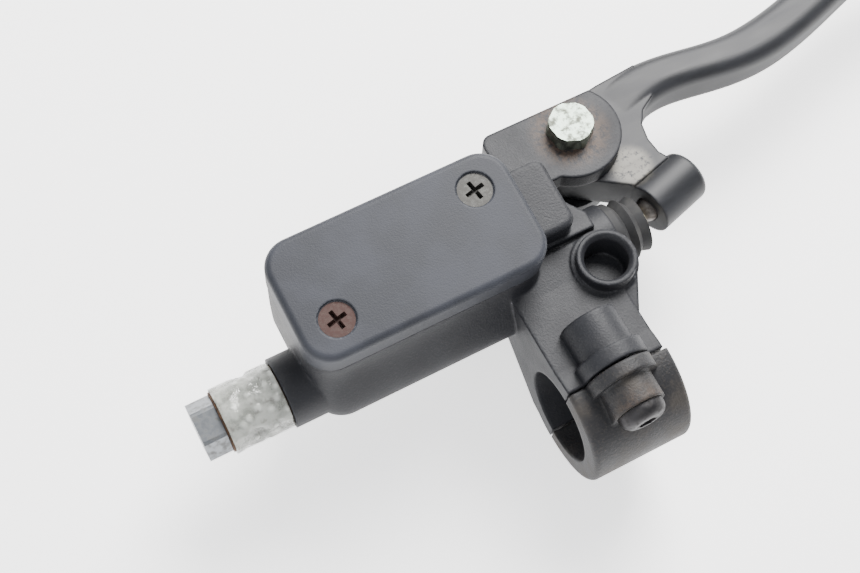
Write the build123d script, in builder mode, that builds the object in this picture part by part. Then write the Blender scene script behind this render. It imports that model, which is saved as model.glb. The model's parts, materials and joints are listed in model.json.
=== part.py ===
"""Front brake master cylinder of a motorcycle, right-hand side, for a 22 mm handlebar.

Millimetres. The origin is the centre of the handlebar bore. +X runs along the handlebar
towards the lever's tip, +Y points forward, away from the rider, and +Z is up, square to
the reservoir's cap.
"""
import os
from math import cos, radians, sin, tan

from build123d import *

os.makedirs("parts", exist_ok=True)

# ---------------------------------------------------------------- driving dimensions
# clearances
run_gap = 0.05          # radial, between parts that slide or turn on each other
seat_gap = 0.1          # between faces that lie on each other
free_gap = 0.3          # between a moving piece and what it passes

# handlebar clamp
bar_d = 22.2
clamp_wall = 4.7
clamp_w = 23.8
clamp_tilt = -3.0       # how far the clamp bolts dip towards the rider
clamp_slit = 0.6        # gap between the clamp's two halves
clamp_bolt_d = 6.0
boss_r = 6.6
boss_len = 12.8
collar_r = 8.0
collar_t = 4.0
cap_boss_r = 6.1
cap_boss_len = 9.6

# cylinder
bore_d = 11.0
cylinder_wall = 2.8
cylinder_left = -65.2
cylinder_right = 18.0
bore_end = -50.0
rod_d = 8.6             # the piston's tail
outlet_d = 10.0
outlet_depth = 11.5
passage_d = 4.0

# reservoir
cap_l = 57.5
cap_w = 29.3
cap_h = 8.4
cap_r = 6.8
wall = 2.6
reservoir_x = -30.6
screw_dx = 19.7
screw_dy = 6.5
screw_d = 4.0
screw_head_d = 7.8
screw_sink_d = 8.4

# lever
lever_tilt = 6.0        # the lever swings in a plane that dips forward by this angle
lever_t = 10.0
lever_arm = 23.9
lever_reach = 152.0
pivot_x = 20.8
pivot_d = 8.0
bush_wall = 1.2
hub_r = 9.8
ear_t = 4.8
ear_r = 12.2
lug_r = 6.4
lug_l = 14.2
lug_turn = 16.0
lug_round = 1.6
adjuster_d = 6.0
adjuster_reach = 2.8    # how far its tip stands out of the lug
ball_r = 8.4

# cap's inside, its screws and the rubber under it
cap_top_t = 2.4
gasket_t = 0.8
bellows_drop = 5.0
bellows_l = 28.0
bellows_t = 0.9
post_r = 4.0
screw_bite = 11.0
screw_sink = 0.5
screw_cone = 1.8
recess_l = 4.6
recess_w = 1.0
recess_deep = 1.5

# clamp cap and its bolts
cap_half_w = 24.8
cap_half_shift = 0.4    # the cap overhangs the body's half on the lever's side
cap_half_proud = 0.3
cap_collar_t = 3.4
bolt_bite = 11.0
button_d = 10.8
button_t = 3.3
button_round = 2.6
socket_af = 4.0
socket_deep = 1.9

# mirror boss
mirror_x = 11.1
mirror_thread_d = 10.0
mirror_r = 6.8
mirror_root_r = 7.7
mirror_thread_l = 8.2
mirror_depth = 8.0

# pivot bolt, its nut and the lever's bush
pivot_af = 10.0
pivot_head_t = 4.0
pivot_thread_d = 6.0
nut_t = 5.0
pivot_step = 1.0        # the pivot's thick part ends this far inside the lower ear
pivot_head_turn = -23.0
bush_proud = 0.2
bush_gap = 0.03

# piston and what rides on it
piston_gap = 0.03
piston_left = -22.0
waist_r = 4.0
land_l = 4.0
tail_x = 13.4
seal_groove_l = 3.6
cup_l = 3.4
spring_wire = 1.0
spring_turns = 7
spring_seat_l = 2.2
stop_washer_t = 1.0
boot_wall = 0.9
boot_r = 7.7
boot_end = 26.2
boot_groove = 0.7
tip_x = 27.2            # the piston's tail at rest
cup_washer_t = 0.5

# outlet bolt
bolt_af = 12.0
bolt_head_t = 5.4
outlet_head_turn = 8.0
washer_t = 1.4
washer_d = 14.2
banjo_space = 11.4      # what a hose's eye would fill between the two washers
film_t = 0.7

# ---------------------------------------------------------------- derived places
bar_r = bar_d / 2
clamp_r = bar_r + clamp_wall
bore_r = bore_d / 2
cylinder_r = bore_r + cylinder_wall
cyl_y = clamp_r + 15.9
cyl_z = 3.2
reservoir_y = cyl_y + 9.4
seam_z = cyl_z + 16.4
cap_top = seam_z + cap_h
floor_z = cyl_z + cylinder_r + 0.4
deep_floor_z = 3.2
pivot_y = cyl_y + lever_arm
pivot_z = cyl_z - lever_arm * tan(radians(lever_tilt))
bolt_off = bar_r + clamp_bolt_d / 2 + 2.2
body_right = reservoir_x + cap_l / 2

screw_places = [
    (reservoir_x + screw_dx, reservoir_y + screw_dy),
    (reservoir_x - screw_dx, reservoir_y - screw_dy),
]
ports = ((-27.4, 0.5), (-10.0, 1.5))
circlip_x = cylinder_right - 3.4
circlip_slot = 1.1
circlip_bite = 0.8
circlip_opening = 5.0    # gap between the circlip's ends

cylinder_axis = Plane(origin=(0, cyl_y, cyl_z), x_dir=(0, 1, 0), z_dir=(1, 0, 0))
lever_plane = Plane(
    origin=(pivot_x, pivot_y, pivot_z),
    x_dir=(1, 0, 0),
    z_dir=(0, sin(radians(lever_tilt)), cos(radians(lever_tilt))),
)
# the clamp's own plane: X along the bar, Y up, Z back towards the rider along the bolts
clamp_plane = Plane(
    origin=(0, 0, 0),
    x_dir=(-1, 0, 0),
    z_dir=(0, -cos(radians(clamp_tilt)), -sin(radians(clamp_tilt))),
)


def across(x):
    """The plane square to the cylinder's axis at x, centred on that axis."""
    return cylinder_axis.offset(x)


# ---------------------------------------------------------------- body
ear_gap = lever_t / 2 + free_gap
fork_h = ear_gap + ear_t
ear_front = 7.6
ear_corner_r = 2.6       # round of the fork's front left corner
shoulder_round = 1.4     # round of the shoulder's top edge
match_tol = 0.02         # how near an edge lies to the place it is picked by
ear_left = -19.8
root_right = -hub_r - 1.6
shoulder_l = 10.4
shoulder_w = 17.8
shoulder_top = seam_z - 0.2
mirror_y = clamp_r + 8.5
mirror_top = cyl_z + 13.2
arm_top = cyl_z + 9.8
mirror_plane = Plane(
    origin=(mirror_x, mirror_y, mirror_top),
    x_dir=(1, 0, 0),
    z_dir=lever_plane.z_dir,
)

# levels of the reservoir's wall: height, and how far it stands out on the rider's side and in front
reservoir_levels = (
    (seam_z, 0.0, 0.0),
    (cyl_z + 8.8, 1.4, -0.2),
    (cyl_z + 1.0, 5.6, -0.7),
    (cyl_z - 4.2, 4.2, -1.6),
)

def at_ear_corner(edge):
    """True for the edges at the fork's front left corner."""
    middle = lever_plane.to_local_coords(edge @ 0.5)
    return abs(middle.X - ear_left) < match_tol and abs(middle.Y - ear_front) < match_tol


def on_shoulder_top(edge):
    """True for the edges round the top of the shoulder beside the cap."""
    level = abs((edge @ 0.5).Z - shoulder_top) < match_tol and abs((edge @ 0).Z - shoulder_top) < match_tol
    return level and (edge @ 0.5).X > body_right + 0.5


with BuildPart() as body:
    # reservoir: its rider's wall flares out over the cylinder lower down
    for height, near, far in reservoir_levels:
        with BuildSketch(Plane.XY.offset(height)):
            width = cap_w + near + far
            with Locations((reservoir_x, reservoir_y - (near - far) / 2)):
                RectangleRounded(cap_l - 0.3, width - 0.3, cap_r)
    loft()
    fillet(body.faces().sort_by(Axis.Z)[0].edges(), 2.0)
    # cylinder
    with BuildSketch(across(cylinder_left)):
        Circle(cylinder_r)
    extrude(amount=cylinder_right - cylinder_left)
    # shoulder beside the cap
    with BuildSketch(Plane.XY.offset(-2.0)):
        with Locations((body_right + shoulder_l / 2 - 1.0, reservoir_y + 1.4)):
            RectangleRounded(shoulder_l + 2.0, shoulder_w, 2.8)
    extrude(amount=shoulder_top + 2.0)
    # root that joins the fork to the reservoir and the cylinder
    with BuildSketch(lever_plane.offset(-fork_h)):
        with BuildLine():
            Polyline(
                (ear_left, ear_front),
                (root_right, ear_front),
                (root_right, -14.0),
                (root_right + 4.0, -20.0),
                (root_right + 4.0, -lever_arm),
                (ear_left - 8.0, -lever_arm),
                (ear_left - 8.0, -6.0),
                (ear_left, 3.0),
                close=True,
            )
        make_face()
    extrude(amount=2 * fork_h)
    # the fork's two ears
    for side in (-1, 1):
        start = ear_gap if side > 0 else -fork_h
        with BuildSketch(lever_plane.offset(start)):
            Circle(ear_r)
            with Locations((ear_left / 2, -1.0)):
                Rectangle(-ear_left, 2 * ear_front + 2.0)
            with Locations((0, ear_front + 10.0)):
                Rectangle(4 * ear_r, 20.0, mode=Mode.SUBTRACT)
            split(bisect_by=Plane.YZ.offset(ear_left), keep=Keep.TOP)
        extrude(amount=ear_t)
    # arm to the handlebar clamp
    with BuildSketch(Plane.XY.offset(-3.0)):
        with BuildLine():
            Polyline(
                (-clamp_w / 2, cyl_y),
                (-clamp_w / 2, 0),
                (clamp_w / 2, 0),
                (clamp_w / 2 + 0.4, clamp_r - 5.0),
                (mirror_x + mirror_root_r - 0.3, mirror_y - 2.0),
                (mirror_x + mirror_root_r - 0.3, mirror_y + 2.0),
                (cylinder_right - 4.0, cyl_y),
                close=True,
            )
        make_face()
    extrude(amount=arm_top + 3.0)
    # body's half of the clamp and its trunk, cut off square to the clamp's bolts
    with BuildSketch(Plane.YZ.offset(-clamp_w / 2)):
        Circle(clamp_r)
        with BuildLine():
            Polyline(
                (0, clamp_r - 0.6),
                (0, -clamp_r + 0.4),
                (clamp_r * 0.5, -clamp_r + 1.2),
                (cyl_y - 9.5, cyl_z - 9.0),
                (cyl_y, cyl_z - cylinder_r),
                (cyl_y, arm_top),
                (cyl_y - 8.0, arm_top),
                close=True,
            )
        make_face()
    extrude(amount=clamp_w)
    # bosses of the clamp's bolts, above and below the bar
    for side in (-1, 1):
        with BuildSketch(clamp_plane.offset(-boss_len)):
            with Locations((0, side * bolt_off)):
                Circle(boss_r)
            with Locations((0, side * (bolt_off - boss_r / 2))):
                Rectangle(2 * boss_r, boss_r)
        extrude(amount=boss_len)
        with BuildSketch(clamp_plane.offset(-collar_t)):
            with Locations((0, side * bolt_off)):
                Circle(collar_r)
            with Locations((0, side * (bolt_off - collar_r / 2))):
                Rectangle(2 * collar_r, collar_r)
        extrude(amount=collar_t)
    split(bisect_by=clamp_plane.offset(-clamp_slit / 2), keep=Keep.BOTTOM)
    # mirror boss
    with BuildSketch(Plane.XY.offset(-3.0)):
        with Locations((mirror_x, mirror_y)):
            Circle(mirror_root_r)
    extrude(amount=arm_top + 3.6)
    with BuildSketch(mirror_plane.offset(-mirror_depth)):
        Circle(mirror_r)
    extrude(amount=mirror_depth)
    fillet(body.edges().filter_by(at_ear_corner), ear_corner_r)
    fillet(body.edges().filter_by(on_shoulder_top), shoulder_round)
    # soften the edges that the hand meets
    fillet(body.edges().filter_by(GeomType.CIRCLE).group_by(Axis.Z)[-1], 0.4)

    # hollows: the bar, the reservoir and its deeper well
    with BuildSketch(Plane.YZ.offset(-clamp_w)):
        Circle(bar_r)
    extrude(amount=2 * clamp_w, mode=Mode.SUBTRACT)
    with BuildSketch(Plane.XY.offset(floor_z)):
        with Locations((reservoir_x, reservoir_y)):
            RectangleRounded(cap_l - 2 * wall, cap_w - 2 * wall, cap_r - wall)
    extrude(amount=seam_z - floor_z + 1.0, mode=Mode.SUBTRACT)
    well_y = cyl_y + cylinder_r + 1.5
    well_w = reservoir_y + cap_w / 2 - wall - 0.6 - well_y
    with BuildSketch(Plane.XY.offset(deep_floor_z)):
        with Locations((reservoir_x, well_y + well_w / 2)):
            RectangleRounded(cap_l - 2 * wall - 1.0, well_w, 2.5)
    extrude(amount=floor_z - deep_floor_z + 1.0, mode=Mode.SUBTRACT)
    # posts that the cap's screws bite into
    with BuildSketch(Plane.XY.offset(deep_floor_z - 1.0)):
        with Locations(*screw_places):
            Circle(post_r)
    extrude(amount=seam_z - deep_floor_z + 1.0)
    with BuildSketch(Plane.XY.offset(seam_z - screw_bite)):
        with Locations(*screw_places):
            Circle(screw_d / 2 + run_gap)
    extrude(amount=screw_bite + 1.0, mode=Mode.SUBTRACT)
    # room around the rubber boot
    with BuildSketch(across(cylinder_right)):
        Circle(boot_r + free_gap)
    extrude(amount=2 * boot_r, mode=Mode.SUBTRACT)
    # bore, its mouth, and the ports
    with BuildSketch(across(bore_end)):
        Circle(bore_r)
    extrude(amount=cylinder_right - bore_end + 1.0, mode=Mode.SUBTRACT)
    with BuildSketch(across(circlip_x)):
        Circle(bore_r + circlip_bite)
    extrude(amount=circlip_slot, mode=Mode.SUBTRACT)
    with BuildSketch(across(cylinder_left - 1.0)):
        Circle(outlet_d / 2)
    extrude(amount=outlet_depth + 1.0, mode=Mode.SUBTRACT)
    with BuildSketch(across(cylinder_left)):
        Circle(passage_d / 2)
    extrude(amount=bore_end - cylinder_left + 1.0, mode=Mode.SUBTRACT)
    for port_x, port_r in ports:
        with BuildSketch(Plane.XY.offset(cyl_z)):
            with Locations((port_x, cyl_y)):
                Circle(port_r)
        extrude(amount=floor_z - cyl_z + 1.0, mode=Mode.SUBTRACT)
    # mirror's thread with its countersunk mouth
    with BuildSketch(mirror_plane.offset(-mirror_thread_l)):
        Circle(mirror_thread_d / 2)
    extrude(amount=mirror_thread_l + 1.0, mode=Mode.SUBTRACT)
    with BuildSketch(mirror_plane):
        Circle(mirror_thread_d / 2 + 0.9)
    extrude(amount=-1.2, taper=36.8, mode=Mode.SUBTRACT)
    # pivot's hole and the threads of the clamp's bolts
    with BuildSketch(lever_plane.offset(-fork_h - 1.0)):
        Circle(pivot_d / 2 + run_gap)
    extrude(amount=2 * fork_h + 2.0, mode=Mode.SUBTRACT)
    for side in (-1, 1):
        with BuildSketch(clamp_plane.offset(-bolt_bite)):
            with Locations((0, side * bolt_off)):
                Circle(clamp_bolt_d / 2 + run_gap)
        extrude(amount=bolt_bite, mode=Mode.SUBTRACT)
    # room for the lever's hub and arm as they swing
    with BuildSketch(lever_plane.offset(-ear_gap)):
        Circle(hub_r + 1.2)
        with BuildLine():
            Polyline(
                (-hub_r - 1.2, 0),
                (0, 2 * ear_r),
                (3 * ear_r, 2 * ear_r),
                (3 * ear_r, -3 * ear_r),
                (-1.6, -3 * ear_r),
                (-1.6, -ear_r),
                close=True,
            )
        make_face()
    extrude(amount=2 * ear_gap, mode=Mode.SUBTRACT)
body.part.label = "body"
export_step(body.part, "parts/body.step")


# ---------------------------------------------------------------- cap, diaphragm, screws
with BuildPart() as reservoir_cap:
    with BuildSketch(Plane.XY.offset(seam_z + seat_gap + gasket_t)):
        with Locations((reservoir_x, reservoir_y)):
            RectangleRounded(cap_l, cap_w, cap_r)
    extrude(amount=cap_h - gasket_t - seat_gap)
    fillet(reservoir_cap.faces().sort_by(Axis.Z)[-1].edges(), 1.6)
    with BuildSketch(Plane.XY.offset(seam_z)):
        with Locations((reservoir_x, reservoir_y)):
            RectangleRounded(cap_l - 2 * wall - 1.4, cap_w - 2 * wall - 1.4, cap_r - wall - 0.7)
    extrude(amount=cap_h - cap_top_t, mode=Mode.SUBTRACT)
    with BuildSketch(Plane.XY.offset(seam_z + seat_gap + gasket_t)):
        with Locations(*screw_places):
            Circle(post_r)
    extrude(amount=cap_h - gasket_t - seat_gap - 1.0)
    with BuildSketch(Plane.XY.offset(seam_z)):
        with Locations(*screw_places):
            Circle(screw_d / 2 + free_gap)
    extrude(amount=cap_h + 1.0, mode=Mode.SUBTRACT)
    with BuildSketch(Plane.XY.offset(cap_top - screw_sink)):
        with Locations(*screw_places):
            Circle(screw_sink_d / 2)
    extrude(amount=screw_sink + 1.0, mode=Mode.SUBTRACT)
    with BuildSketch(Plane.XY.offset(cap_top - screw_sink)):
        with Locations(*screw_places):
            Circle(screw_head_d / 2 + run_gap)
    extrude(amount=-screw_cone, taper=45, mode=Mode.SUBTRACT)
reservoir_cap.part.label = "reservoir_cap"
export_step(reservoir_cap.part, "parts/reservoir_cap.step")

with BuildPart() as diaphragm:
    # flange clamped in the seam, and a bellows that hangs into the reservoir
    with BuildSketch(Plane.XY.offset(seam_z + seat_gap / 2)):
        with Locations((reservoir_x, reservoir_y)):
            RectangleRounded(cap_l - 1.2, cap_w - 1.2, cap_r - 0.6)
    extrude(amount=gasket_t)
    with BuildSketch(Plane.XY.offset(seam_z - bellows_drop)):
        with Locations((reservoir_x, reservoir_y)):
            RectangleRounded(bellows_l, cap_w - 2 * wall - 2.0, 3.0)
    extrude(amount=bellows_drop + seat_gap / 2 + gasket_t)
    with BuildSketch(Plane.XY.offset(seam_z - bellows_drop + bellows_t)):
        with Locations((reservoir_x, reservoir_y)):
            RectangleRounded(bellows_l - 2 * bellows_t, cap_w - 2 * wall - 2.0 - 2 * bellows_t, 2.2)
    extrude(amount=bellows_drop + gasket_t + 1.0, mode=Mode.SUBTRACT)
    with BuildSketch(Plane.XY.offset(seam_z)):
        with Locations(*screw_places):
            Circle(screw_d / 2 + free_gap)
    extrude(amount=gasket_t + 1.0, mode=Mode.SUBTRACT)
diaphragm.part.label = "diaphragm"
export_step(diaphragm.part, "parts/diaphragm.step")

with BuildPart() as cap_screws:
    with BuildSketch(Plane.XY.offset(cap_top - screw_sink)):
        with Locations(*screw_places):
            Circle(screw_head_d / 2)
    extrude(amount=-screw_cone, taper=45)
    with BuildSketch(Plane.XY.offset(seam_z - screw_bite + 1.0)):
        with Locations(*screw_places):
            Circle(screw_d / 2)
    extrude(amount=screw_bite - 1.0 + cap_h - screw_sink - 0.5)
    # cross recess
    for turn in (12, 102):
        with BuildSketch(Plane.XY.offset(cap_top - screw_sink)):
            with Locations(*screw_places):
                Rectangle(recess_l, recess_w, rotation=turn)
        extrude(amount=-recess_deep, taper=12, mode=Mode.SUBTRACT)
cap_screws.part.label = "cap_screws"
export_step(cap_screws.part, "parts/cap_screws.step")

# ---------------------------------------------------------------- clamp cap and its bolts
with BuildPart() as clamp_cap:
    with BuildSketch(Plane.YZ.offset(-cap_half_w / 2 + cap_half_shift)):
        Circle(clamp_r + cap_half_proud)
    extrude(amount=cap_half_w)
    fillet(clamp_cap.edges().filter_by(GeomType.CIRCLE), 1.2)
    for side in (-1, 1):
        with BuildSketch(clamp_plane):
            with Locations((0, side * bolt_off)):
                Circle(collar_r)
            with Locations((0, side * (bolt_off - collar_r / 2))):
                Rectangle(2 * collar_r, collar_r)
        extrude(amount=cap_collar_t)
        with BuildSketch(clamp_plane):
            with Locations((0, side * bolt_off)):
                Circle(cap_boss_r)
            with Locations((0, side * (bolt_off - cap_boss_r))):
                Rectangle(2 * cap_boss_r, 2 * cap_boss_r)
        extrude(amount=cap_boss_len)
    with BuildSketch(Plane.YZ.offset(-clamp_w)):
        Circle(bar_r)
    extrude(amount=2 * clamp_w, mode=Mode.SUBTRACT)
    for side in (-1, 1):
        with BuildSketch(clamp_plane):
            with Locations((0, side * bolt_off)):
                Circle(clamp_bolt_d / 2 + free_gap)
        extrude(amount=cap_boss_len + 1.0, mode=Mode.SUBTRACT)
        # flat seat for the bolt's head
        with BuildSketch(clamp_plane.offset(cap_boss_len)):
            with Locations((0, side * bolt_off)):
                Circle(button_d / 2 + free_gap)
        extrude(amount=clamp_r, mode=Mode.SUBTRACT)
    split(bisect_by=clamp_plane.offset(clamp_slit / 2), keep=Keep.TOP)
clamp_cap.part.label = "clamp_cap"
export_step(clamp_cap.part, "parts/clamp_cap.step")

with BuildPart() as clamp_bolts:
    for side in (-1, 1):
        with BuildSketch(clamp_plane.offset(-bolt_bite + 1.0)):
            with Locations((0, side * bolt_off)):
                Circle(clamp_bolt_d / 2)
        extrude(amount=bolt_bite - 1.0 + cap_boss_len + 0.2)
        with BuildSketch(clamp_plane.offset(cap_boss_len + seat_gap)):
            with Locations((0, side * bolt_off)):
                Circle(button_d / 2)
        extrude(amount=button_t)
    bolt_axis = Axis((0, 0, 0), clamp_plane.z_dir)
    fillet(clamp_bolts.edges().filter_by(GeomType.CIRCLE).group_by(bolt_axis)[-1], button_round)
    for side in (-1, 1):
        with BuildSketch(clamp_plane.offset(cap_boss_len + button_t + 1.0)):
            with Locations((0, side * bolt_off)):
                RegularPolygon(socket_af / 2, 6, major_radius=False)
        extrude(amount=-socket_deep - 1.0, mode=Mode.SUBTRACT)
clamp_bolts.part.label = "clamp_bolts"
export_step(clamp_bolts.part, "parts/clamp_bolts.step")


# ---------------------------------------------------------------- lever and its pivot
def lever_section(u, v, turn, width, height):
    """A rounded section of the blade, square to its run, centred at (u, v) in the lever's plane."""
    centre = lever_plane.from_local_coords(Vector(u, v, 0))
    run = lever_plane.from_local_coords(Vector(cos(radians(turn)), sin(radians(turn)), 0))
    return Plane(
        origin=centre,
        x_dir=lever_plane.z_dir,
        z_dir=run - lever_plane.origin,
    )


# stations along the blade: place in the lever's plane, direction, width and height
blade = (
    (6.0, 1.2, 12.0, 17.0, lever_t - 0.4),
    (18.0, 5.2, 14.0, 12.6, lever_t + 0.4),
    (29.0, 6.7, -2.0, 10.4, lever_t + 1.6),
    (40.0, 5.3, -9.0, 9.8, lever_t + 1.8),
    (52.0, 4.2, 2.0, 10.6, lever_t + 1.6),
    (63.0, 5.5, 12.0, 11.2, lever_t + 1.4),
    (76.0, 9.0, 17.0, 11.2, lever_t + 1.2),
    (92.0, 13.9, 14.0, 11.0, lever_t + 1.0),
    (112.0, 17.2, 4.0, 10.6, lever_t + 0.8),
    (132.0, 16.6, -8.0, 9.8, lever_t + 0.4),
    (lever_reach, 12.6, -14.0, 8.8, lever_t - 0.6),
)
lug_u, lug_v = 16.4, -20.0
lug_axis = Vector(cos(radians(lug_turn)), sin(radians(lug_turn)), 0)

with BuildPart() as lever:
    for u, v, turn, width, height in blade:
        with BuildSketch(lever_section(u, v, turn, width, height)):
            RectangleRounded(height, width, min(width, height) * 0.32)
    loft()
    # ball at the tip
    tip = lever_plane.from_local_coords(Vector(lever_reach, 12.6, 0))
    with Locations(tip):
        Sphere(ball_r)
    # hub between the ears, and the arm down to the lug
    with BuildSketch(lever_plane.offset(-lever_t / 2)):
        Circle(hub_r)
        with BuildLine():
            Polyline(
                (-hub_r * 0.72, -hub_r * 0.69),
                (4.6, -14.6),
                (8.2, -17.2),
                (19.2, -14.4),
                (17.9, -12.0),
                (17.5, -8.0),
                (18.3, -4.0),
                (20.6, -0.6),
                (25.0, 2.0),
                (25.0, 11.3),
                (14.0, 10.4),
                (0, 8.2),
                close=True,
            )
        make_face()
    extrude(amount=lever_t)
    lug_plane = Plane(
        origin=lever_plane.from_local_coords(lug_axis * (-lug_l / 2) + Vector(lug_u, lug_v, 0)),
        z_dir=lever_plane.from_local_coords(lug_axis) - lever_plane.origin,
    )
    with BuildSketch(Plane(origin=lug_plane.origin, x_dir=lug_plane.z_dir, z_dir=lever_plane.z_dir)):
        with BuildLine():
            Polyline((0, 0), (0, lug_r), (lug_l - lug_round, lug_r))
            RadiusArc((lug_l - lug_round, lug_r), (lug_l, lug_r - lug_round), lug_round)
            Polyline((lug_l, lug_r - lug_round), (lug_l, 0), (0, 0))
        make_face()
    revolve(axis=Axis(lug_plane.origin, lug_plane.z_dir))
    with BuildSketch(lug_plane.offset(-1.0)):
        Circle(adjuster_d / 2 + run_gap)
    extrude(amount=lug_l - 1.6, mode=Mode.SUBTRACT)
    with BuildSketch(lever_plane.offset(-lever_t)):
        Circle(pivot_d / 2 + bush_wall)
    extrude(amount=2 * lever_t, mode=Mode.SUBTRACT)
lever.part.label = "lever"
export_step(lever.part, "parts/lever.step")

with BuildPart() as lever_bush:
    with BuildSketch(lever_plane.offset(-lever_t / 2 - bush_proud)):
        Circle(pivot_d / 2 + bush_wall - bush_gap)
        Circle(pivot_d / 2 + run_gap, mode=Mode.SUBTRACT)
    extrude(amount=lever_t + 2 * bush_proud)
lever_bush.part.label = "lever_bush"
export_step(lever_bush.part, "parts/lever_bush.step")

with BuildPart() as adjuster_screw:
    with BuildSketch(lug_plane.offset(-adjuster_reach + adjuster_d / 2)):
        Circle(adjuster_d / 2)
    extrude(amount=lug_l - 4.0 + adjuster_reach - adjuster_d / 2)
    with Locations(lug_plane.offset(-adjuster_reach + adjuster_d / 2)):
        Sphere(adjuster_d / 2)
adjuster_screw.part.label = "adjuster_screw"
export_step(adjuster_screw.part, "parts/adjuster_screw.step")

with BuildPart() as pivot_bolt:
    with BuildSketch(lever_plane.offset(fork_h + seat_gap)):
        RegularPolygon(pivot_af / 2, 6, major_radius=False, rotation=pivot_head_turn)
    extrude(amount=pivot_head_t)
    # rounded-off corners of the head
    with BuildSketch(lever_plane.offset(fork_h + seat_gap)):
        Circle(pivot_af / 2 * 1.11)
    extrude(amount=pivot_head_t, taper=5.0, mode=Mode.INTERSECT)
    with BuildSketch(lever_plane.offset(-fork_h + pivot_step)):
        Circle(pivot_d / 2)
    extrude(amount=2 * fork_h - pivot_step + seat_gap)
    with BuildSketch(lever_plane.offset(-fork_h - nut_t - 1.5)):
        Circle(pivot_thread_d / 2)
    extrude(amount=nut_t + pivot_step + 2.0)
pivot_bolt.part.label = "pivot_bolt"
export_step(pivot_bolt.part, "parts/pivot_bolt.step")

with BuildPart() as pivot_nut:
    with BuildSketch(lever_plane.offset(-fork_h - seat_gap - nut_t)):
        RegularPolygon(pivot_af / 2, 6, major_radius=False, rotation=pivot_head_turn + 20.0)
        Circle(pivot_thread_d / 2 + run_gap, mode=Mode.SUBTRACT)
    extrude(amount=nut_t)
pivot_nut.part.label = "pivot_nut"
export_step(pivot_nut.part, "parts/pivot_nut.step")

# ---------------------------------------------------------------- piston, seals and spring
piston_r = bore_r - piston_gap
rod_r = rod_d / 2
# steps of the piston from its nose to its tail: start, end, radius
waist_x = piston_left + land_l
groove_x = tail_x - land_l - seal_groove_l
piston_steps = (
    (piston_left, waist_x, piston_r),
    (waist_x, groove_x - land_l, waist_r),
    (groove_x - land_l, groove_x, piston_r),
    (groove_x, groove_x + seal_groove_l, waist_r),
    (groove_x + seal_groove_l, tail_x, piston_r),
    (tail_x, tip_x, rod_r),
)
with BuildPart() as piston:
    for start, end, radius in piston_steps:
        with BuildSketch(across(start)):
            Circle(radius)
        extrude(amount=end - start)
    # groove that holds the boot's lip
    with BuildSketch(across(boot_end - 1.5)):
        Circle(rod_r + 1.0)
        Circle(rod_r - boot_groove, mode=Mode.SUBTRACT)
    extrude(amount=1.1, mode=Mode.SUBTRACT)
piston.part.label = "piston"
export_step(piston.part, "parts/piston.step")

with BuildPart() as cup_washer:
    with BuildSketch(across(piston_left - seat_gap - cup_washer_t)):
        Circle(piston_r - 0.2)
        Circle(2.0, mode=Mode.SUBTRACT)
    extrude(amount=cup_washer_t)
cup_washer.part.label = "cup_washer"
export_step(cup_washer.part, "parts/cup_washer.step")

cup_x = piston_left - 2 * seat_gap - cup_washer_t - cup_l
with BuildPart() as primary_cup:
    with BuildSketch(across(cup_x)):
        Circle(bore_r - piston_gap)
    extrude(amount=cup_l)
    with BuildSketch(across(cup_x - 0.5)):
        Circle(bore_r - 1.4)
    extrude(amount=cup_l - 1.0, mode=Mode.SUBTRACT)
primary_cup.part.label = "primary_cup"
export_step(primary_cup.part, "parts/primary_cup.step")

with BuildPart() as secondary_cup:
    with BuildSketch(across(groove_x + seat_gap)):
        Circle(bore_r - piston_gap)
        Circle(waist_r + run_gap, mode=Mode.SUBTRACT)
    extrude(amount=seal_groove_l - 2 * seat_gap)
    with BuildSketch(across(groove_x)):
        Circle(bore_r - 0.6)
        Circle(waist_r + 0.6, mode=Mode.SUBTRACT)
    extrude(amount=1.6, mode=Mode.SUBTRACT)
secondary_cup.part.label = "secondary_cup"
export_step(secondary_cup.part, "parts/secondary_cup.step")

with BuildPart() as spring_seat:
    with BuildSketch(across(cup_x - seat_gap)):
        Circle(bore_r - 1.8)
    extrude(amount=cup_l - 1.8)
    with BuildSketch(across(cup_x - seat_gap - 1.0)):
        Circle(bore_r - 1.0)
    extrude(amount=1.0)
    with BuildSketch(across(cup_x - seat_gap - 3.0)):
        Circle(2.2)
    extrude(amount=2.0)
spring_seat.part.label = "spring_seat"
export_step(spring_seat.part, "parts/spring_seat.step")

spring_left = bore_end + seat_gap
spring_right = cup_x - seat_gap - 1.0 - seat_gap
spring_r = bore_r - 1.4 - spring_wire / 2
coil_l = spring_right - spring_left - spring_wire
with BuildPart() as return_spring:
    coil_start = (spring_left + spring_wire / 2, cyl_y, cyl_z)
    with BuildLine():
        coil = Helix(
            pitch=coil_l / spring_turns,
            height=coil_l,
            radius=spring_r,
            center=coil_start,
            direction=(1, 0, 0),
        )
    with BuildSketch(Plane(origin=coil @ 0, z_dir=coil % 0)):
        Circle(spring_wire / 2)
    sweep(path=coil)
return_spring.part.label = "return_spring"
export_step(return_spring.part, "parts/return_spring.step")

with BuildPart() as stop_washer:
    with BuildSketch(across(tail_x + run_gap)):
        Circle(bore_r - seat_gap)
        Circle(rod_r + free_gap, mode=Mode.SUBTRACT)
    extrude(amount=circlip_x - tail_x - 2 * run_gap)
stop_washer.part.label = "stop_washer"
export_step(stop_washer.part, "parts/stop_washer.step")

with BuildPart() as circlip:
    with BuildSketch(across(circlip_x + run_gap)):
        Circle(bore_r + circlip_bite - seat_gap)
        Circle(rod_r + free_gap, mode=Mode.SUBTRACT)
    extrude(amount=circlip_slot - 2 * run_gap)
    with BuildSketch(across(circlip_x)):
        with Locations((0, -bore_r)):
            Rectangle(circlip_opening, 2 * bore_r - 2.0)
    extrude(amount=circlip_slot, mode=Mode.SUBTRACT)
circlip.part.label = "circlip"
export_step(circlip.part, "parts/circlip.step")

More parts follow.
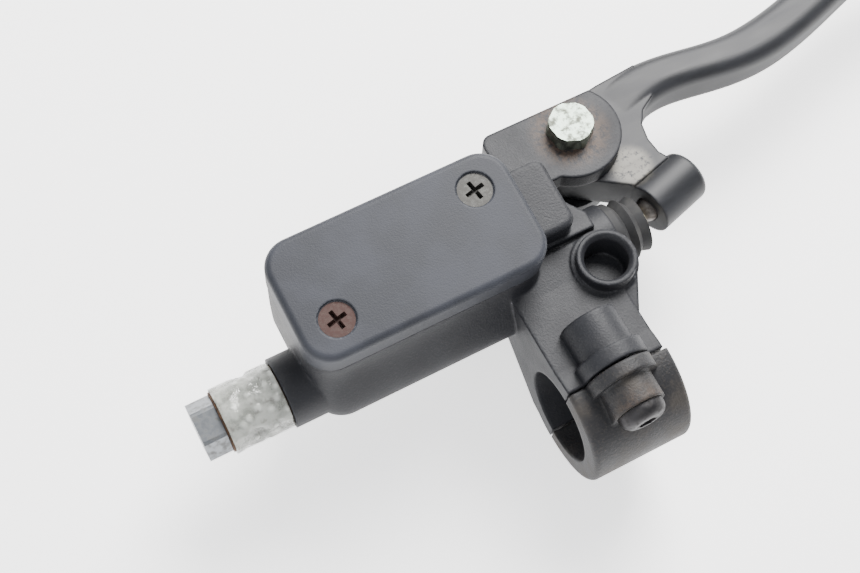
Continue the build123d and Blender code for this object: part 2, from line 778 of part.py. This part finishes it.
with BuildPart() as dust_boot:
    # bellows: its left end sits on the cylinder's mouth, its right lip in the piston's groove
    start = cylinder_right + seat_gap
    with BuildSketch(Plane(origin=(0, cyl_y, cyl_z), z_dir=(0, 0, 1))):
        with BuildLine():
            outer = Polyline(
                (start, boot_r),
                (start + 1.8, boot_r),
                (start + 3.0, boot_r - 1.4),
                (start + 4.6, boot_r - 0.3),
                (start + 6.0, boot_r - 1.6),
                (boot_end, boot_r - 0.9),
                (boot_end, rod_r + 0.15),
                (boot_end - 1.0, rod_r + 0.15),
                (boot_end - 1.0, boot_r - 2.0),
                (start + 6.0, boot_r - 1.6 - boot_wall),
                (start + 4.6, boot_r - 0.3 - boot_wall),
                (start + 3.0, boot_r - 1.4 - boot_wall),
                (start + 1.8, boot_r - boot_wall),
                (start + 1.8, bore_r - 0.6),
                (start, bore_r - 0.6),
                close=True,
            )
        make_face()
    revolve(axis=Axis((0, cyl_y, cyl_z), (1, 0, 0)))
dust_boot.part.label = "dust_boot"
export_step(dust_boot.part, "parts/dust_boot.step")

# ---------------------------------------------------------------- outlet
inner_washer_x = cylinder_left - seat_gap - washer_t
outer_washer_x = inner_washer_x - banjo_space - 2 * seat_gap - washer_t
head_x = outer_washer_x - seat_gap - bolt_head_t
with BuildPart() as outlet_bolt:
    with BuildSketch(across(head_x)):
        RegularPolygon(bolt_af / 2, 6, major_radius=False, rotation=outlet_head_turn)
    extrude(amount=bolt_head_t)
    with BuildSketch(across(head_x)):
        Circle(bolt_af / 2 * 1.11)
    extrude(amount=bolt_head_t, mode=Mode.INTERSECT)
    with BuildSketch(across(head_x + bolt_head_t)):
        Circle(outlet_d / 2 - run_gap)
    extrude(amount=cylinder_left + outlet_depth - 1.0 - head_x - bolt_head_t)
outlet_bolt.part.label = "outlet_bolt"
export_step(outlet_bolt.part, "parts/outlet_bolt.step")

with BuildPart() as seal_washers:
    for start in (inner_washer_x, outer_washer_x):
        with BuildSketch(across(start)):
            Circle(washer_d / 2)
            Circle(outlet_d / 2 + 0.15, mode=Mode.SUBTRACT)
        extrude(amount=washer_t)
seal_washers.part.label = "seal_washers"
export_step(seal_washers.part, "parts/seal_washers.step")

with BuildPart() as film_wrap:
    film_in = washer_d / 2 + seat_gap
    with BuildSketch(across(outer_washer_x + 0.3)):
        Circle(film_in + film_t)
        Circle(film_in, mode=Mode.SUBTRACT)
    extrude(amount=cylinder_left - outer_washer_x - 0.5)
film_wrap.part.label = "film_wrap"
export_step(film_wrap.part, "parts/film_wrap.step")
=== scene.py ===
# %% [markdown]
# # A brake master cylinder for a motorcycle
#
# The unit clamps on the handlebar and turns the pull of a hand lever into fluid pressure. Its
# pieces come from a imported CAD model, already in place and in metres. This lesson gives each of
# them a finish that follows how it is made: paint on a die casting, moulded plastic, plated and
# bare steel, rubber. It then adds the crumpled film at the outlet, a floor, lights and a camera.

import json
import math

import bmesh
import bpy
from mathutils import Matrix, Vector, noise


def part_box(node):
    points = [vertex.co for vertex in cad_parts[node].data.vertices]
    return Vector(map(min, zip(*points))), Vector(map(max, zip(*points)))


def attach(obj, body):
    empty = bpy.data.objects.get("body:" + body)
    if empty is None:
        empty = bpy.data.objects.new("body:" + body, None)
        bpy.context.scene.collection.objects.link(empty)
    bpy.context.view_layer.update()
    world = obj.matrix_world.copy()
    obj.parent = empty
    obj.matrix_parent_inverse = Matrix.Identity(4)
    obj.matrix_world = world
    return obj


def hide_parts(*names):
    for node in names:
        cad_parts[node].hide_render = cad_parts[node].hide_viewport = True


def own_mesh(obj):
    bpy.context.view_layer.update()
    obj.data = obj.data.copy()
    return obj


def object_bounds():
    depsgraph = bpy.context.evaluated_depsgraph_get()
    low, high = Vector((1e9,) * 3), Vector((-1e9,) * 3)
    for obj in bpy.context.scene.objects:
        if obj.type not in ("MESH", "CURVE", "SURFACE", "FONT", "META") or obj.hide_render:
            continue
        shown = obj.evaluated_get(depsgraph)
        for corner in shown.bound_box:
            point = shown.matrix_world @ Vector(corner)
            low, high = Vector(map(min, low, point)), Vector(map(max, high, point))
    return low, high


MM = 0.001

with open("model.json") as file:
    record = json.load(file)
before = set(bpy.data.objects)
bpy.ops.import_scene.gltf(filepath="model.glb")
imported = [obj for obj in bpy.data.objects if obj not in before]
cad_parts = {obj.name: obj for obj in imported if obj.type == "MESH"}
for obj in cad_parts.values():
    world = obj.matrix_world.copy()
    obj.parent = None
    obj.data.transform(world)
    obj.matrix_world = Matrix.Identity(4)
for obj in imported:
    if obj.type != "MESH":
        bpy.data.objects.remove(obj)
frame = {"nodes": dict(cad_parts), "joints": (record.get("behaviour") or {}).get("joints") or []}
joints = {joint["name"]: joint for joint in frame["joints"]}
cad_box = [list(corner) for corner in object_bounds()]

# %% [markdown]
# ## Writing shader maths as Python
#
# Wear and dirt are sums and products of noises. A long list of Math nodes is hard to read, so a
# small class wraps a socket, and each operator on it adds the Math node that it stands for.


# %% A socket with operators
class Sock:
    """The output of a shader node, which can be added, subtracted and multiplied."""

    def __init__(self, paint, socket):
        self.paint, self.socket = paint, socket

    def math(self, operation, first, second, clamp=False):
        settings = {"operation": operation, "use_clamp": clamp}
        return self.paint.node("ShaderNodeMath", settings, {0: first, 1: second})[0]

    def __add__(self, other):
        return self.math("ADD", self, other)

    def __sub__(self, other):
        return self.math("SUBTRACT", self, other)

    def __rsub__(self, other):
        return self.math("SUBTRACT", other, self)

    def __mul__(self, other):
        return self.math("MULTIPLY", self, other)

    __radd__ = __add__
    __rmul__ = __mul__

    def clamped(self):
        """The same value, kept between 0 and 1."""
        return self.math("ADD", self, 0.0, clamp=True)

    def step(self, low, high):
        """0 below low, 1 above high, smooth in between."""
        settings = {"interpolation_type": "SMOOTHSTEP"}
        values = {"Value": self, "From Min": low, "From Max": high}
        return self.paint.node("ShaderNodeMapRange", settings, values)[0]


# %% [markdown]
# ## A material, written from the inside out
#
# `Paint` holds one material. Its methods add the textures that the finishes below are made of,
# and `finish` feeds the results to the shader. Sizes are given in millimetres, as on the real
# thing.
#
# The Mix node keeps one set of sockets for each kind of value under the same names, so its colour
# sockets have to be picked by number.

# %% A material being written
MIX_FACTOR, MIX_COLOUR_A, MIX_COLOUR_B, MIX_COLOUR_OUT = 0, 6, 7, 2


class Paint:
    """A new material, with the object's own coordinates as the place of every texture."""

    def __init__(self, name):
        self.material = bpy.data.materials.new(name)
        self.material.use_nodes = True
        self.tree = self.material.node_tree
        self.shader = self.tree.nodes["Principled BSDF"]
        self.place = self.node("ShaderNodeTexCoord", {}, {}, "Object")

    def node(self, kind, settings, values, output=None):
        """Adds a node: settings first, then the values or links of its sockets."""
        new = self.tree.nodes.new(kind)
        for key, value in settings.items():
            setattr(new, key, value)
        for key, value in values.items():
            self.feed(new.inputs[key], value)
        if output is not None:
            return Sock(self, new.outputs[output])
        return [Sock(self, socket) for socket in new.outputs]

    def feed(self, socket, value):
        """Links the socket if the value is a Sock, or else sets it."""
        if isinstance(value, Sock):
            self.tree.links.new(value.socket, socket)
        elif socket.type == "RGBA":
            socket.default_value = (*value, 1.0)
        else:
            socket.default_value = value

    def noise(self, size_mm, detail=3.0, rough=0.55, offset=0.0, stretch=(1, 1, 1)):
        """Noise whose lumps are about size_mm across; the offset moves it to another part."""
        values = {"Vector": self.place, "Location": (offset, offset * 0.7, 0), "Scale": stretch}
        moved = self.node("ShaderNodeMapping", {}, values, "Vector")
        scale = 1 / (size_mm * MM)
        values = {"Vector": moved, "Scale": scale, "Detail": detail, "Roughness": rough}
        return self.node("ShaderNodeTexNoise", {}, values)[0]

    def rounded(self, reach_mm):
        """The normal of a surface whose corners were rounded off by about reach_mm."""
        values = {"Radius": reach_mm * MM}
        return self.node("ShaderNodeBevel", {"samples": 8}, values, "Normal")

    def edges(self, reach_mm):
        """1 on edges, 0 on flats: how far a rounded normal leaves the true one."""
        soft = self.rounded(reach_mm)
        true = self.node("ShaderNodeNewGeometry", {}, {}, "Normal")
        settings = {"operation": "DOT_PRODUCT"}
        alike = self.node("ShaderNodeVectorMath", settings, {0: soft, 1: true}, "Value")
        return (1 - alike).step(0.01, 0.16)

    def near(self, place, inner_mm, outer_mm):
        """1 within inner_mm of a place on the object, fading to 0 at outer_mm."""
        settings = {"operation": "DISTANCE"}
        away = self.node("ShaderNodeVectorMath", settings, {0: self.place, 1: place}, "Value")
        return 1 - away.step(inner_mm * MM, outer_mm * MM)

    def mix(self, factor, first, second):
        """The first colour where the factor is 0, the second where it is 1."""
        mixer = self.tree.nodes.new("ShaderNodeMix")
        mixer.data_type = "RGBA"
        self.feed(mixer.inputs[MIX_FACTOR], factor)
        self.feed(mixer.inputs[MIX_COLOUR_A], first)
        self.feed(mixer.inputs[MIX_COLOUR_B], second)
        return Sock(self, mixer.outputs[MIX_COLOUR_OUT])

    def bump(self, height, depth_mm, strength, under=None):
        """Bumps by height, on top of another normal if one is given."""
        values = {"Height": height, "Distance": depth_mm * MM, "Strength": strength}
        if under is not None:
            values["Normal"] = under
        return self.node("ShaderNodeBump", {}, values, "Normal")

    def finish(self, **values):
        """Feeds the shader's sockets, named with underscores, and gives the material."""
        for key, value in values.items():
            self.feed(self.shader.inputs[key.replace("_", " ")], value)
        return self.material


def linear(red, green, blue):
    """A colour as picked on a screen, 0 to 255, in the linear values that shaders use."""
    parts = [part / 255 for part in (red, green, blue)]
    return tuple(p / 12.92 if p <= 0.04045 else ((p + 0.055) / 1.055) ** 2.4 for p in parts)


def vectors(box):
    """The lowest and the highest corner of a box, as vectors."""
    return [Vector(corner) for corner in box]


print("shader helpers ready")

# %% [markdown]
# ## Paint on die-cast aluminium
#
# The housing and the clamp are cast, so their skin has a fine pebble from the mould, and thin
# satin paint follows it. Handling polishes the corners first, and dust settles in patches that
# dull the gloss. The clamp sits beside the hand and road dirt, so it is browner and coarser than
# the housing. Rust spreads on the paint around a steel bolt.


# %% Cast and painted
def painted_casting(
    name, paint, dusty, dust_amount, grain_mm, depth_mm, wear, rust_place, rust_amount
):
    p = Paint(name)
    polished, rusty = linear(112, 113, 118), linear(84, 68, 56)
    corner_mm = 1.1
    grain = p.noise(grain_mm, detail=3.0, rough=0.6)
    patches = p.noise(size_mm=9.0, detail=4.0, offset=0.02)
    scuffs = p.noise(size_mm=1.3, detail=5.0, rough=0.7, offset=0.05)
    pebble = grain.step(0.52, 0.68)
    dust = (patches.step(0.42, 0.72) * dust_amount + scuffs.step(0.6, 0.8) * 0.15).clamped()
    rubbed = p.edges(corner_mm) * scuffs.step(0.5, 0.7) * patches.step(0.45, 0.6)
    worn = (rubbed * wear).clamped()
    around_bolt = p.near(rust_place, inner_mm=6.5, outer_mm=11.0)
    rust = (around_bolt * scuffs.step(0.36, 0.6) * rust_amount).clamped()

    colour = p.mix(dust, paint, dusty)
    colour = p.mix(worn, colour, polished)
    colour = p.mix(pebble * 0.3, colour, dusty)
    colour = p.mix(rust, colour, rusty)
    rough = (0.46 + patches * 0.16 + dust * 0.16 - worn * 0.12).clamped()
    return p.finish(
        Base_Color=colour,
        Roughness=rough,
        Metallic=worn * 0.6,
        Specular_IOR_Level=0.34,
        Normal=p.bump(grain + scuffs * 0.3, depth_mm, strength=0.8, under=p.rounded(corner_mm)),
    )


bolt_low, bolt_high = vectors(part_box("pivot_bolt"))
bolt_middle = (bolt_low + bolt_high) / 2
head_height = 4 * MM
under_bolt = (bolt_middle.x, bolt_middle.y, bolt_high.z - head_height)
dome_low, dome_high = vectors(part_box("clamp_bolts"))
by_dome = ((dome_low.x + dome_high.x) / 2, dome_low.y, dome_high.z)
housing_paint = painted_casting(
    "housing_paint",
    paint=linear(29, 30, 34),
    dusty=linear(52, 51, 52),
    dust_amount=0.26,
    grain_mm=0.5,
    depth_mm=0.1,
    wear=0.7,
    rust_place=under_bolt,
    rust_amount=0.7,
)
clamp_paint = painted_casting(
    "clamp_paint",
    paint=linear(31, 31, 33),
    dusty=linear(70, 64, 57),
    dust_amount=0.55,
    grain_mm=0.6,
    depth_mm=0.18,
    wear=0.5,
    rust_place=by_dome,
    rust_amount=0.35,
)
print("castings:", housing_paint.name, clamp_paint.name)

# %% [markdown]
# ## The moulded cap and the smooth lever
#
# The cap is moulded with a finer, more even grain, a little lighter, with pale specks painted on
# its rim as highlights.
# The lever is smooth to the hand: hardly any grain, faint rub marks along it, and one bare patch
# on the arm beside the pivot.


# %% Moulded cap
def moulded_cap():
    p = Paint("cap_moulding")
    dark, light, painted_highlight_pale = linear(36, 38, 44), linear(48, 50, 57), linear(112, 114, 120)
    grain = p.noise(size_mm=0.32, detail=1.0)
    cloud = p.noise(size_mm=12.0, detail=3.0, offset=0.03)
    specks = p.noise(size_mm=0.8, detail=4.0, rough=0.75, offset=0.07)
    # Pale specks on the rounded rim are painted highlights.
    rim_highlights = (p.edges(reach_mm=0.7) * specks.step(0.5, 0.68)).clamped()
    colour = p.mix(cloud.step(0.35, 0.7), dark, light)
    colour = p.mix(rim_highlights * 0.5, colour, painted_highlight_pale)
    return p.finish(
        Base_Color=colour,
        Roughness=(0.5 + cloud * 0.14 + rim_highlights * 0.1).clamped(),
        Specular_IOR_Level=0.36,
        Normal=p.bump(grain, depth_mm=0.05, strength=0.7, under=p.rounded(reach_mm=0.6)),
    )


# %% Lever
def lever_satin(bare_place):
    p = Paint("lever_satin")
    corner_mm = 0.9
    dark, light, bare_metal = linear(23, 24, 27), linear(32, 33, 37), linear(98, 95, 88)
    rubbed = p.noise(size_mm=3.0, detail=4.0, stretch=(0.25, 1, 1), offset=0.01)
    fine = p.noise(size_mm=0.25, detail=2.0)
    scuffs = p.noise(size_mm=1.1, detail=5.0, rough=0.7, offset=0.04)
    bare = p.near(bare_place, inner_mm=3.6, outer_mm=6.4) * scuffs.step(0.34, 0.5)
    worn_edges = p.edges(corner_mm) * scuffs.step(0.55, 0.7)
    worn = (worn_edges * 0.4 + bare * 0.8).clamped()
    colour = p.mix(rubbed.step(0.4, 0.7), dark, light)
    colour = p.mix(worn, colour, bare_metal)
    skin = fine + scuffs * 0.3
    return p.finish(
        Base_Color=colour,
        Roughness=(0.42 + rubbed * 0.16 - worn * 0.06).clamped(),
        Metallic=worn * 0.35,
        Specular_IOR_Level=0.4,
        Normal=p.bump(skin, depth_mm=0.02, strength=0.4, under=p.rounded(corner_mm)),
    )


pivot = Vector(joints["lever_pivot"]["pos_m"])
bare_from_pivot = Vector((10.2, -11.6, 7.0)) * MM
cap_moulding, lever_finish = moulded_cap(), lever_satin(tuple(pivot + bare_from_pivot))
print("mouldings:", cap_moulding.name, lever_finish.name)

# %% [markdown]
# ## Plated, bare and rusted metal
#
# One recipe serves every fastener and spring: a bright metal, a stain that dulls it in patches,
# and a fine unevenness of the surface. Only colours and amounts differ between zinc, steel,
# bronze, copper and anodised aluminium.


# %% Metals
def metal(name, bright, stain, stain_amount, shine, lump_mm=1.6):
    p = Paint(name)
    lumps = p.noise(lump_mm, detail=5.0, rough=0.65)
    fine = p.noise(size_mm=0.2, detail=2.0, offset=0.02)
    patchy = lumps.step(0.45, 0.66) * stain_amount
    stained = (patchy + p.edges(reach_mm=0.25) * 0.05).clamped()
    return p.finish(
        Base_Color=p.mix(stained, bright, stain),
        Roughness=(shine + lumps * 0.2 + stained * 0.3).clamped(),
        Metallic=(1 - stained * 0.7).clamped(),
        Normal=p.bump(fine + lumps * 0.6, depth_mm=0.02, strength=0.5),
    )


metals = {
    "zinc": metal("zinc_plate", linear(126, 136, 126), linear(86, 84, 70), 0.7, 0.3, 2.4),
    "outlet": metal("outlet_zinc", linear(128, 131, 134), linear(84, 82, 76), 0.55, 0.3, 1.8),
    "steel": metal("dark_steel", linear(104, 100, 96), linear(62, 54, 48), 0.6, 0.34),
    "blacked": metal("blacked_steel", linear(58, 57, 58), linear(36, 34, 33), 0.9, 0.38),
    "spring": metal("spring_wire", linear(140, 140, 144), linear(90, 86, 82), 0.3, 0.24),
    "bronze": metal("bush_bronze", linear(176, 140, 92), linear(112, 84, 54), 0.4, 0.38),
    "alloy": metal("anodised_alloy", linear(190, 184, 166), linear(132, 124, 108), 0.3, 0.3),
    "copper": metal("washer_copper", linear(92, 72, 58), linear(48, 40, 36), 0.8, 0.5),
}
print("metals:", ", ".join(metals))


# %% [markdown]
# The two cap screws were packed as one piece, but one of them has rusted and the other hasn't.
# They lie well apart along the bar, so the place along X chooses between the two finishes.


# %% Cap screws
def cap_screw_finish():
    p = Paint("cap_screw_zinc")
    clean, clean_stain = linear(61, 61, 59), linear(48, 44, 40)
    rusty, rusty_stain = linear(60, 48, 44), linear(58, 34, 28)
    low, high = vectors(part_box("cap_screws"))
    between = (low.x + high.x) / 2
    along = p.node("ShaderNodeSeparateXYZ", {}, {"Vector": p.place}, "X")
    rusted = 1 - along.step(between - 1 * MM, between + 1 * MM)
    lumps = p.noise(size_mm=0.9, detail=5.0, rough=0.7)
    spots = (lumps.step(0.36, 0.56) * (0.35 + rusted * 0.6)).clamped()
    ground, stain = p.mix(rusted, clean, rusty), p.mix(rusted, clean_stain, rusty_stain)
    return p.finish(
        Base_Color=p.mix(spots, ground, stain),
        Roughness=(0.42 + spots * 0.34).clamped(),
        Metallic=(0.8 - spots * 0.7).clamped(),
        Normal=p.bump(lumps, depth_mm=0.04, strength=0.6),
    )


screw_zinc = cap_screw_finish()
print("screws:", screw_zinc.name)


# %% [markdown]
# ## Rubber
#
# The boot, the diaphragm and the cups are black rubber. It scatters light rather than shines, and
# the pale bloom that comes to the surface of old rubber lies on it in patches.


# %% Rubber
def rubber():
    p = Paint("boot_rubber")
    fine = p.noise(size_mm=0.4, detail=3.0)
    bloom = p.noise(size_mm=4.0, detail=4.0, offset=0.06)
    return p.finish(
        Base_Color=p.mix(bloom.step(0.45, 0.75) * 0.5, linear(34, 34, 35), linear(66, 65, 63)),
        Roughness=(0.62 + bloom * 0.25).clamped(),
        Normal=p.bump(fine, depth_mm=0.03, strength=0.5),
    )


rubber_black = rubber()
print("rubber:", rubber_black.name)

# %% [markdown]
# ## Giving each piece its finish
#
# A CAD piece keeps its mesh and only changes material. The soft corners of castings and mouldings
# come from the rounded normals in their shaders, so the shape stays as the CAD made it.

# %% Dress the CAD pieces
finishes = {
    "body": housing_paint,
    "clamp_cap": clamp_paint,
    "reservoir_cap": cap_moulding,
    "lever": lever_finish,
    "cap_screws": screw_zinc,
    "pivot_bolt": metals["zinc"],
    "pivot_nut": metals["zinc"],
    "outlet_bolt": metals["outlet"],
    "clamp_bolts": metals["blacked"],
    "adjuster_screw": metals["steel"],
    "stop_washer": metals["steel"],
    "cup_washer": metals["steel"],
    "return_spring": metals["spring"],
    "circlip": metals["spring"],
    "lever_bush": metals["bronze"],
    "piston": metals["alloy"],
    "spring_seat": metals["alloy"],
    "seal_washers": metals["copper"],
    "diaphragm": rubber_black,
    "primary_cup": rubber_black,
    "secondary_cup": rubber_black,
    "dust_boot": rubber_black,
}
for node, finish in finishes.items():
    piece = frame["nodes"][node]
    piece.data.materials.clear()
    piece.data.materials.append(finish)
print("dressed:", len(finishes), "of", len(frame["nodes"]), "nodes")

# %% [markdown]
# ## Copies of the spring and the boot
#
# When the lever is squeezed the piston goes in, and the return spring and the rubber boot shorten
# with it. A CAD piece can't change shape, so a merged copy of each stands for it. The share of its
# length that the piston's travel would leave is worked out and printed; the copy keeps its length.


# %% Merged copies
def new_object(name, mesh):
    """An object in the scene, made from a mesh that is being edited and is then freed."""
    data = bpy.data.meshes.new(name)
    mesh.to_mesh(data)
    mesh.free()
    made = bpy.data.objects.new(name, data)
    bpy.context.collection.objects.link(made)
    return made


def shortening_copy(node, name, fixed_end, moving_end):
    """A merged, smooth-shaded copy of a CAD node in its place; prints what share of its length the
    piston's travel would leave.
    """
    same_point, sharp_angle = 0.0005 * MM, math.radians(30)
    mesh = bmesh.new()
    mesh.from_mesh(frame["nodes"][node].data)
    bmesh.ops.remove_doubles(mesh, verts=mesh.verts, dist=same_point)
    for face in mesh.faces:
        face.smooth = True
    for edge in mesh.edges:
        edge.smooth = edge.calc_face_angle(0.0) < sharp_angle
    copy = new_object(name, mesh)
    copy.data.materials.append(finishes[node])
    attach(copy, "housing")
    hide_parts(node)
    length = abs(moving_end - fixed_end)
    keep = (length - piston_travel) / length
    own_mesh(copy)
    print(name, "keeps", round(keep, 3), "of", round(length / MM, 2), "mm")
    return copy


slide = joints["piston_slide"]
piston_travel = slide["range_m"][1]
fixed_ends = {d["node"]: d["fixed_end_x_m"] for d in slide["deforming_nodes"]}
spring_end, boot_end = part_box("return_spring")[1][0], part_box("dust_boot")[1][0]
spring = shortening_copy("return_spring", "spring_coil", fixed_ends["return_spring"], spring_end)
boot = shortening_copy("dust_boot", "mouth_boot", fixed_ends["dust_boot"], boot_end)

# %% [markdown]
# ## The crumpled film at the outlet
#
# Somebody wrapped clear film round the outlet to keep dirt out. It is a thin tube with irregular
# folds: rings of points stand along the cylinder, noise pushes every point inwards, and Solidify
# gives the tube a thickness. The folds stay shallow over the two washers and sink deeper between
# them, where only the thinner bolt lies under the film. Its clearness comes from transparency that
# varies with the folds. The points are placed one by one, so that every run makes the same mesh.


# %% Film
def crumpled_film():
    low, high = vectors(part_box("film_wrap"))
    middle, radius = (low + high) / 2, (high.y - low.y) / 2
    washer_low, washer_high = vectors(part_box("seal_washers"))
    washer_radius = (washer_high.y - washer_low.y) / 2
    rings, sides, wall = 34, 72, 0.12 * MM
    clear_of_washers = 0.08 * MM
    shallow = radius - 2 * wall - washer_radius - clear_of_washers
    sunken_middle = 1.1 * MM
    folds_per_metre, octaves, steep_sides = 260, 3, 4

    mesh = bmesh.new()
    points = []
    for ring in range(rings + 1):
        x = low.x + wall + (high.x - low.x - 2 * wall) * ring / rings
        share = (x - low.x) / (high.x - low.x)
        between_washers = max(0.0, math.sin(math.pi * share)) ** steep_sides
        deepest = shallow + sunken_middle * between_washers
        for side in range(sides):
            angle = 2 * math.pi * side / sides
            outward = Vector((0, math.cos(angle), math.sin(angle)))
            smooth = Vector((x, middle.y, middle.z)) + outward * (radius - wall)
            lumps = noise.turbulence(smooth * folds_per_metre, octaves, False)
            fold = min(1.0, max(0.0, lumps))
            points.append(mesh.verts.new(smooth - outward * fold * deepest))
    for ring in range(rings):
        for side in range(sides):
            here, beside = ring * sides + side, ring * sides + (side + 1) % sides
            corners = (here, beside, beside + sides, here + sides)
            mesh.faces.new([points[corner] for corner in corners])
    bmesh.ops.recalc_face_normals(mesh, faces=mesh.faces)

    film = new_object("outlet_film", mesh)
    film.data.shade_smooth()
    thick = film.modifiers.new("wall", "SOLIDIFY")
    thick.thickness, thick.offset = wall, -1.0
    return film


def film_clear():
    p = Paint("clear_film")
    dull, clear = linear(150, 153, 144), linear(186, 188, 180)
    # A near-white for the highlights painted on the bubbles.
    painted_highlight_white, grime = linear(226, 228, 220), linear(86, 80, 74)
    bubble_mm = 2.6
    folds = p.noise(size_mm=4.0, detail=3.0, rough=0.55)
    creases = p.noise(size_mm=1.6, detail=4.0, rough=0.6, offset=0.03)
    values = {"Vector": p.place, "Scale": 1 / (bubble_mm * MM), "Randomness": 0.85}
    cells = p.node("ShaderNodeTexVoronoi", {"feature": "F1"}, values, "Distance")
    # Bubbles on the film: their bumps, and pale spots painted on them as highlights.
    bubble_highlights = 1 - cells.step(0.12, 0.5)
    dirt = creases.step(0.56, 0.68) * 0.6
    milky = (0.42 + folds.step(0.35, 0.7) * 0.25 + bubble_highlights * 0.2 + dirt * 0.3).clamped()
    colour = p.mix(folds.step(0.35, 0.65), dull, clear)
    colour = p.mix(bubble_highlights * 0.7, colour, painted_highlight_white)
    colour = p.mix(dirt.clamped(), colour, grime)
    return p.finish(
        Base_Color=colour,
        Roughness=(0.1 + creases * 0.2).clamped(),
        Alpha=milky,
        Coat_Weight=0.6,
        Normal=p.bump(bubble_highlights + folds, depth_mm=0.4, strength=0.8),
    )


film = crumpled_film()
film.data.materials.append(film_clear())
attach(film, "housing")
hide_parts("film_wrap")
print("film faces:", len(film.data.polygons))

# %% [markdown]
# ## Floor
#
# The unit lies on a pale sheet, just under the lowest point of the clamp. The sheet glows, so
# that it stays nearly white while the dark paint is lit softly.

# %% Floor
floor_reach, floor_gap = 1.6, 0.2 * MM
lowest = cad_box[0][2]
floor_mesh = bmesh.new()
bmesh.ops.create_grid(floor_mesh, x_segments=8, y_segments=8, size=floor_reach)
bmesh.ops.translate(floor_mesh, verts=floor_mesh.verts, vec=(0, 0, lowest - floor_gap))
floor = new_object("floor", floor_mesh)
paper = Paint("paper_sheet")
fibre = paper.noise(size_mm=1.5, detail=3.0)
paper_finish = paper.finish(
    Base_Color=linear(244, 243, 242),
    Roughness=0.9,
    Emission_Strength=1.5,
    Emission_Color=(1.0, 1.0, 1.0),
    Normal=paper.bump(fibre, depth_mm=0.02, strength=0.2),
)
floor.data.materials.append(paper_finish)
print("floor at", round(lowest / MM, 1), "mm")

# %% [markdown]
# ## Light
#
# One broad window gives dark paint its gentle highlights. A weaker, wider light from the other
# side and a pale sky keep the shadows open.


# %% Lights
def soft_light(name, place, aim, size, power, tint):
    """A square light of a size in metres and a power in watts, turned towards its aim."""
    data = bpy.data.lights.new(name, "AREA")
    data.size, data.energy, data.color = size, power, tint
    lamp = bpy.data.objects.new(name, data)
    lamp.location = place
    lamp.rotation_euler = (Vector(aim) - Vector(place)).to_track_quat("-Z", "Y").to_euler()
    bpy.context.collection.objects.link(lamp)


aim = (-0.02, 0.04, 0.0)
soft_light("window", (0.35, 0.45, 0.6), aim, size=0.5, power=22.0, tint=(1.0, 0.99, 0.98))
soft_light("fill", (-0.5, -0.3, 0.55), aim, size=0.8, power=3.5, tint=(0.97, 0.98, 1.0))
sky_colour, sky_strength = (0.93, 0.95, 1.0, 1.0), 0.7
world = bpy.data.worlds.new("studio")
world.use_nodes = True
sky = world.node_tree.nodes["Background"]
sky.inputs["Color"].default_value = sky_colour
sky.inputs["Strength"].default_value = sky_strength
bpy.context.scene.world = world

# %% [markdown]
# ## Camera
#
# The camera is above the rider's side of the unit and looks down and a little forwards, turned so
# that the handlebar's line climbs to the right. The lens is a little longer than a normal one.

# %% Camera
lens_mm, sensor_mm = 59.85, 36.0
camera_place = (-0.0924, -0.0461, 0.3087)
camera_turn = (19.3, -3.88, -27.65)
nearest_seen = 0.01
lens_data = bpy.data.cameras.new("camera")
lens_data.lens, lens_data.sensor_width = lens_mm, sensor_mm
lens_data.clip_start = nearest_seen
camera = bpy.data.objects.new("camera", lens_data)
camera.location = camera_place
camera.rotation_euler = [math.radians(angle) for angle in camera_turn]
bpy.context.collection.objects.link(camera)
bpy.context.scene.camera = camera
print("camera looks from", tuple(round(v, 3) for v in camera.location))

# %% [markdown]
# ## The end
#
# The looks must not change the size of the part.

# %% Finish
print("scene built")
